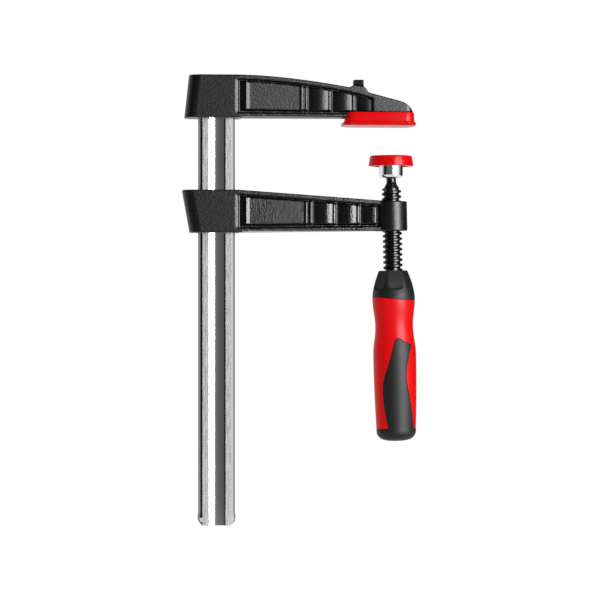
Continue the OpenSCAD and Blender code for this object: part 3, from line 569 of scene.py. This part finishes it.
# %% Red polypropylene and black soft rubber
handle_red, tree, shader = finish("moulded_red_polypropylene", Specular_IOR_Level=0.14)
spot = add(tree, "ShaderNodeTexCoord", {})["Object"]
cloud = add(tree, "ShaderNodeTexNoise", {"Vector": spot, "Scale": 1 / (18 * MM), "Detail": 2.0})[0]
etch = add(tree, "ShaderNodeTexNoise", {"Vector": spot, "Scale": 1 / (0.7 * MM), "Detail": 2.0})[0]
pair = {"Factor": cloud, "A": srgb("#e40408"), "B": srgb("#ee060a")}
tone = add(tree, "ShaderNodeMix", pair, data_type="RGBA")
rough = add(tree, "ShaderNodeMapRange", {"Value": cloud, "To Min": 0.3, "To Max": 0.4})[0]
bump = add(tree, "ShaderNodeBump", {"Height": etch, "Strength": 0.15, "Distance": 0.02 * MM})[0]
tree.links.new(tone["Result"], shader.inputs["Base Color"])
tree.links.new(rough, shader.inputs["Roughness"])
tree.links.new(bump, shader.inputs["Normal"])

soft_black, tree, shader = finish("etched_black_soft_rubber", Specular_IOR_Level=0.27)
spot = add(tree, "ShaderNodeTexCoord", {})["Object"]
cloud = add(tree, "ShaderNodeTexNoise", {"Vector": spot, "Scale": 1 / (14 * MM), "Detail": 2.0})[0]
etch = add(tree, "ShaderNodeTexNoise", {"Vector": spot, "Scale": 1 / (0.6 * MM), "Detail": 3.0})[0]
pair = {"Factor": cloud, "A": srgb("#101112"), "B": srgb("#161718")}
tone = add(tree, "ShaderNodeMix", pair, data_type="RGBA")
rough = add(tree, "ShaderNodeMapRange", {"Value": etch, "To Min": 0.42, "To Max": 0.58})[0]
bump = add(tree, "ShaderNodeBump", {"Height": etch, "Strength": 0.3, "Distance": 0.04 * MM})[0]
tree.links.new(tone["Result"], shader.inputs["Base Color"])
tree.links.new(rough, shader.inputs["Roughness"])
tree.links.new(bump, shader.inputs["Normal"])
print("finishes:", handle_red.name, soft_black.name)

# %% [markdown]
# One formula gives the radius of the handle at a distance below the ball: a shoulder, a waist for the
# thumb, a belly for the palm and a rounded end. All pieces of the handle follow it, so they lie flush.

# %% Outline of the handle
handle_top = 76.9
collar_end = 98.5
waist = 119.3
belly = 141.0
tail = 197.0
handle_end = 206.6
top_r = 11.0
shoulder_r = 16.2
waist_r = 14.4
belly_r = 16.4
tail_r = 15.1


def ease(a, b, share):
    return a + (b - a) * (1 - math.cos(math.pi * share)) / 2


def handle_r(s):
    if s < collar_end:
        share = (s - handle_top) / (collar_end - handle_top)
        return top_r + (shoulder_r - top_r) * math.sin(math.pi / 2 * share)
    if s < waist:
        return ease(shoulder_r, waist_r, (s - collar_end) / (waist - collar_end))
    if s < belly:
        return ease(waist_r, belly_r, (s - waist) / (belly - waist))
    if s < tail:
        return belly_r - (belly_r - tail_r) * ((s - belly) / (tail - belly)) ** 2
    return tail_r * max(0, 1 - ((s - tail) / (handle_end - tail)) ** 3) ** (1 / 3)


def stations(start, end, count):
    return [start + (end - start) * i / count for i in range(count + 1)]


print("handle radius at the belly:", handle_r(belly), "mm")

# %% [markdown]
# The red core is spun and then cut by the slanted plane on which the collar ends. Filling the cut and
# bevelling its rim leaves the fine groove that shows where two shots of plastic meet. The pole of the
# spin is merged first, so that the cut is the only opening to fill.

# %% Handle core
slant = math.radians(5.5)
seam_at = Vector((0, 0, -collar_end * MM))
seam_normal = Vector((math.sin(slant), 0, math.cos(slant)))
seam_round = 0.35 * MM


def cut_at_seam(bm, **keep):
    bmesh.ops.remove_doubles(bm, verts=bm.verts, dist=0.002 * MM)
    whole = bm.verts[:] + bm.edges[:] + bm.faces[:]
    bmesh.ops.bisect_plane(bm, geom=whole, plane_co=seam_at, plane_no=seam_normal, **keep)
    filled = bmesh.ops.holes_fill(bm, edges=[e for e in bm.edges if e.is_boundary])["faces"]
    rim = filled[0].edges[:]
    bmesh.ops.bevel(bm, geom=rim, offset=seam_round, affect="EDGES", segments=3, profile=0.5, material=-1)


bm = bmesh.new()
lathe(bm, [
    *[(handle_r(s), -s) for s in stations(collar_end - 4, tail - 0.4, 64)],
    (tail_r - 0.1, -tail + 0.1), (tail_r - 0.4, -tail), (0, -tail),
], steps=144)
cut_at_seam(bm, clear_outer=True)
piece(bm, "handle_core_look", "screw", [handle_red], place=screw_place)

# %% [markdown]
# The collar has six flats that lean in towards its top. After the spin, every vertex outside a flat is
# moved in to it. Each flat ends below in a short bowed ledge with a small fillet, and the rows of vertices
# there are pulled down in the same bow.

# %% Collar with six flats
flat_reach = 14.3
flat_lean = math.radians(19.5)
flat_end = handle_top + 13.4
flat_bow = 1.3
flat_fillet = 1.2
flat_turn = math.radians(2.5)
bow_fade = 6
bore_r = 7.7


def from_flat(vert):
    sixth = math.pi / 3
    around = math.atan2(vert.co.y, vert.co.x) + math.pi / 2 - flat_turn
    return (around + sixth / 2) % sixth - sixth / 2


bm = bmesh.new()
rows = [
    *stations(handle_top + 1, flat_end - flat_fillet, 10),
    *stations(flat_end - flat_fillet, flat_end, 6)[1:], *stations(flat_end + 0.1, collar_end + 4, 16),
]
lathe(bm, [
    (0, -handle_top - 6), (bore_r, -handle_top - 6), (bore_r, -handle_top - 0.4), (8.1, -handle_top),
    *arc(top_r - 0.8, -handle_top - 1, 1.0, 90, 20, 4), *[(handle_r(s), -s) for s in rows],
], steps=144)
for vert in bm.verts:
    s = -vert.co.z / MM
    aside = from_flat(vert)
    radius = vert.co.xy.length / MM
    if s <= flat_end + 0.01 and radius > bore_r + 0.8:
        near = max(0, s - flat_end + flat_fillet)
        lift = flat_fillet - math.sqrt(max(0, flat_fillet ** 2 - near ** 2))
        reach = flat_reach - (flat_end - s) * math.tan(flat_lean) + lift
        vert.co.xy *= min(1, reach / math.cos(aside) / radius)
    bow = flat_bow * math.cos(3 * aside) * max(0, 1 - abs(s - flat_end) / bow_fade)
    vert.co.z -= bow * MM
cut_at_seam(bm, clear_inner=True)
piece(bm, "handle_collar_look", "screw", [soft_black], place=screw_place)

# %% [markdown]
# The soft grip is the round end of the handle and two inlays, front and back, in one shot of rubber. The
# left, right and upper borders of an inlay are smooth curves through a few points, given in millimetres
# as distances across and along from the belly.

# %% Curves through a few points
def curve(points, share):
    place = share * (len(points) - 1)
    i = min(int(place), len(points) - 2)
    p0, p1, p2, p3 = [Vector(points[min(max(i + k, 0), len(points) - 1)]) for k in (-1, 0, 1, 2)]
    t = place - i
    straight = 2 * p1 + (p2 - p0) * t
    bend = (2 * p0 - 5 * p1 + 4 * p2 - p3) * t ** 2 + (3 * p1 - p0 - 3 * p2 + p3) * t ** 3
    return (straight + bend) / 2


inlay_left = [(-1, -12), (-4, -2), (-7, 8), (-10.2, 18), (-11.2, 27), (-10.6, 38), (-8.6, 51), (-7.6, 58)]
inlay_right = [(11.9, -8), (10.4, -2), (8, 8), (7.3, 17), (8.4, 25), (9.9, 33), (12.0, 49), (13.3, 58)]
inlay_upper = [(-1, -12), (2, -13), (7, -10), (11.9, -8)]
print("middle of the inlay's left border:", [round(v, 1) for v in curve(inlay_left, 0.5)])

# %% [markdown]
# An inlay starts as a flat grid that is stretched between its borders. The grid is then laid on the
# handle, with its rim rounded down into the red, and gets its thickness by a solidify. The round end is
# spun with the same outline as the rest of the handle.

# %% Soft grip
inlay_length = 70
inlay_proud = 0.35
inlay_rim = 1.1
inlay_sink = 0.5
inlay_thick = 1.2 * MM


def inlay_point(across, along):
    left = curve(inlay_left, along)
    right = curve(inlay_right, along)
    bowed = curve(inlay_upper, across) - Vector(inlay_upper[0]).lerp(Vector(inlay_upper[-1]), across)
    return left.lerp(right, across) + bowed * (1 - along), (right - left).length


bm = bmesh.new()
for turned in (0, math.pi):
    grid = bmesh.ops.create_grid(bm, x_segments=32, y_segments=72, size=0.5)["verts"]
    for vert in grid:
        across = ease(0, 1, vert.co.x + 0.5)
        along = (vert.co.y + 0.5) ** 1.4
        (x, below), width = inlay_point(across, along)
        from_rim = min(across * width, (1 - across) * width, along * inlay_length) / inlay_rim
        rise = math.sqrt(1 - (1 - min(1, from_rim)) ** 2)
        s = belly + below
        radius = handle_r(s) + (inlay_proud + inlay_sink) * rise - inlay_sink
        vert.co = Vector((x, -math.sqrt(radius ** 2 - x ** 2), -s)) * MM
    faces = list({face for vert in grid for face in vert.link_faces})
    bmesh.ops.recalc_face_normals(bm, faces=faces)
    if sum(face.normal.y for face in faces) > 0:
        bmesh.ops.reverse_faces(bm, faces=faces)
    made = bmesh.ops.solidify(bm, geom=faces, thickness=inlay_thick)["geom"]
    shell = {v for f in faces for v in f.verts}
    shell = list(shell | {v for v in made if isinstance(v, bmesh.types.BMVert)})
    bmesh.ops.rotate(bm, verts=shell, cent=(0, 0, 0), matrix=Matrix.Rotation(turned, 3, "Z"))
end_rows = [tail + (handle_end - tail) * math.sin(math.pi / 2 * i / 14) for i in range(1, 15)]
lathe(bm, [
    (0, -tail - 0.05), (tail_r - 0.5, -tail - 0.05), (tail_r - 0.1, -tail - 0.2),
    (handle_r(tail + 0.5), -tail - 0.5), *[(handle_r(s), -s) for s in end_rows],
], steps=144)
piece(bm, "soft_grip_look", "screw", [soft_black], place=screw_place)

# %% [markdown]
# ## Studio
# The photograph shows a white sweep behind the tool, a large soft box to the right of the camera, a lamp
# high on the left and a dark room behind the camera. The floor lies below the reach of the handle at the
# lowest setting of the jaw. It is white to the camera and in reflections, and a share of plain matt white
# keeps the tool's shadow on it. That share fades out towards the rim, so that no edge shows.

# %% Floor
floor_z = -480 * MM
floor_r = 1.6
bm = bmesh.new()
bmesh.ops.create_circle(bm, cap_ends=True, segments=96, radius=floor_r)
bmesh.ops.translate(bm, vec=(aim.x, 0, floor_z), verts=bm.verts)
floor_mesh = bpy.data.meshes.new("floor")
bm.to_mesh(floor_mesh)
bm.free()
floor = bpy.data.objects.new("floor", floor_mesh)
bpy.context.collection.objects.link(floor)

paper = bpy.data.materials.new("matt_white_paper")
paper.use_nodes = True
tree = paper.node_tree
tree.nodes.clear()
spot = add(tree, "ShaderNodeTexCoord", {})["Object"]
centred = add(tree, "ShaderNodeVectorMath", {0: spot, 1: (aim.x, 0, floor_z)}, operation="SUBTRACT")[0]
away = add(tree, "ShaderNodeVectorMath", {0: centred}, operation="LENGTH")["Value"]
rim = add(tree, "ShaderNodeMapRange", {"Value": away, "From Min": 0.2, "From Max": 1.0})[0]
glow_share = add(tree, "ShaderNodeMapRange", {"Value": rim, "To Min": 0.7, "To Max": 1.0})[0]
path = add(tree, "ShaderNodeLightPath", {})
direct = {0: path["Is Camera Ray"], 1: path["Is Glossy Ray"]}
seen = add(tree, "ShaderNodeMath", direct, operation="MAXIMUM")[0]
seen = add(tree, "ShaderNodeMath", {0: seen, 1: path["Is Transmission Ray"]}, operation="MAXIMUM")[0]
share = add(tree, "ShaderNodeMath", {0: seen, 1: glow_share}, operation="MULTIPLY")[0]
matt = add(tree, "ShaderNodeBsdfDiffuse", {"Color": srgb("#f4f4f4")})[0]
glow = add(tree, "ShaderNodeEmission", {"Color": (1, 1, 1, 1), "Strength": 1.0})[0]
mixed = add(tree, "ShaderNodeMixShader", {0: share, 1: matt, 2: glow})[0]
add(tree, "ShaderNodeOutputMaterial", {"Surface": mixed})
floor_mesh.materials.append(paper)
print("floor at", round(floor_z / MM), "mm")

# %% [markdown]
# The walls of the room only matter in reflections, so they are painted on the world by compass direction:
# zero degrees is straight behind the camera and positive angles are to its right. The ceiling is dark.
# The camera itself sees plain white, and matt surfaces get an even grey fill.

# %% World
walls = [
    (-180, 0.5), (-150, 0.9), (-132, 1.0), (-104, 1.0), (-94, 0.6), (-81, 0.22), (-74, 0.01), (-54, 0.01),
    (-50, 0.11), (-10, 0.16), (12, 0.22), (18, 0.9), (76, 0.9), (80, 0.65), (92, 0.33), (99, 0.1),
    (108, 0.02), (146, 0.02), (154, 1.0), (180, 1.0),
]
fill = 0.36
world = bpy.data.worlds.new("studio")
bpy.context.scene.world = world
world.use_nodes = True
tree = world.node_tree
tree.nodes.clear()
look = add(tree, "ShaderNodeTexCoord", {})["Generated"]
axes = add(tree, "ShaderNodeSeparateXYZ", {"Vector": look})
back = add(tree, "ShaderNodeMath", {0: axes["Y"], 1: -1.0}, operation="MULTIPLY")[0]
compass = add(tree, "ShaderNodeMath", {0: axes["X"], 1: back}, operation="ARCTAN2")[0]
share = add(tree, "ShaderNodeMapRange", {"Value": compass, "From Min": -math.pi, "From Max": math.pi})[0]
wall = add(tree, "ShaderNodeValToRGB", {"Fac": share})["Color"]
ramp = tree.nodes[-1].color_ramp
while len(ramp.elements) < len(walls):
    ramp.elements.new(0.5)
for stop, (degrees, level) in zip(ramp.elements, walls):
    stop.position = (degrees + 180) / 360
    stop.color = (level, level, level, 1)
high = add(tree, "ShaderNodeMapRange", {"Value": axes["Z"], "From Min": 0.2, "From Max": 0.55})[0]
pair = {"Factor": high, "A": wall, "B": (0.05, 0.05, 0.05, 1)}
room = add(tree, "ShaderNodeMix", pair, data_type="RGBA")["Result"]
path = add(tree, "ShaderNodeLightPath", {})
pair = {"Factor": path["Is Glossy Ray"], "A": (fill, fill, fill, 1), "B": room}
mirrored = add(tree, "ShaderNodeMix", pair, data_type="RGBA")["Result"]
direct = {0: path["Is Camera Ray"], 1: path["Is Transmission Ray"]}
through = add(tree, "ShaderNodeMath", direct, operation="MAXIMUM")[0]
pair = {"Factor": through, "A": mirrored, "B": (1, 1, 1, 1)}
seen = add(tree, "ShaderNodeMix", pair, data_type="RGBA")["Result"]
sky = add(tree, "ShaderNodeBackground", {"Color": seen, "Strength": 1.0})[0]
add(tree, "ShaderNodeOutputWorld", {"Surface": sky})
print("walls painted in", len(walls), "stops")

# %% [markdown]
# Three panels do the lighting. Their power follows from the brightness that the panel should have, so a
# lamp can be resized without a change in its highlight. The bright panel on the right draws the glints on
# steel and paint alone, as a strip of tubes behind a grid does, and two weaker ones light the colours.

# %% Lamps
def soft_box(name, degrees, height, away, width, tall, radiance):
    lamp = bpy.data.lights.new(name, "AREA")
    lamp.shape = "RECTANGLE"
    lamp.size = width
    lamp.size_y = tall
    lamp.energy = radiance * math.pi * width * tall
    panel = bpy.data.objects.new(name, lamp)
    bpy.context.collection.objects.link(panel)
    swing = math.radians(degrees)
    lift = math.radians(height)
    out = Vector((math.sin(swing) * math.cos(lift), -math.cos(swing) * math.cos(lift), math.sin(lift)))
    panel.location = aim + away * out
    panel.rotation_euler = out.to_track_quat("Z", "Y").to_euler()
    panel.visible_camera = False
    print(name, "has", round(lamp.energy), "W")
    return panel


glints = soft_box("tubes_right", 37, 6, 3.0, 2.1, 1.5, 21.0)
glints.visible_diffuse = False
for name, degrees, height, radiance in (("soft_box_right", 40, 20, 6.1), ("soft_box_left", -45, 40, 1.1)):
    colours = soft_box(name, degrees, height, 2.0, 1.2, 1.2, radiance)
    colours.visible_glossy = False

# %% [markdown]
# At the end the plain view transform keeps the colours as they were written.

# %% View transform
scene = bpy.context.scene
scene.view_settings.view_transform = "Standard"
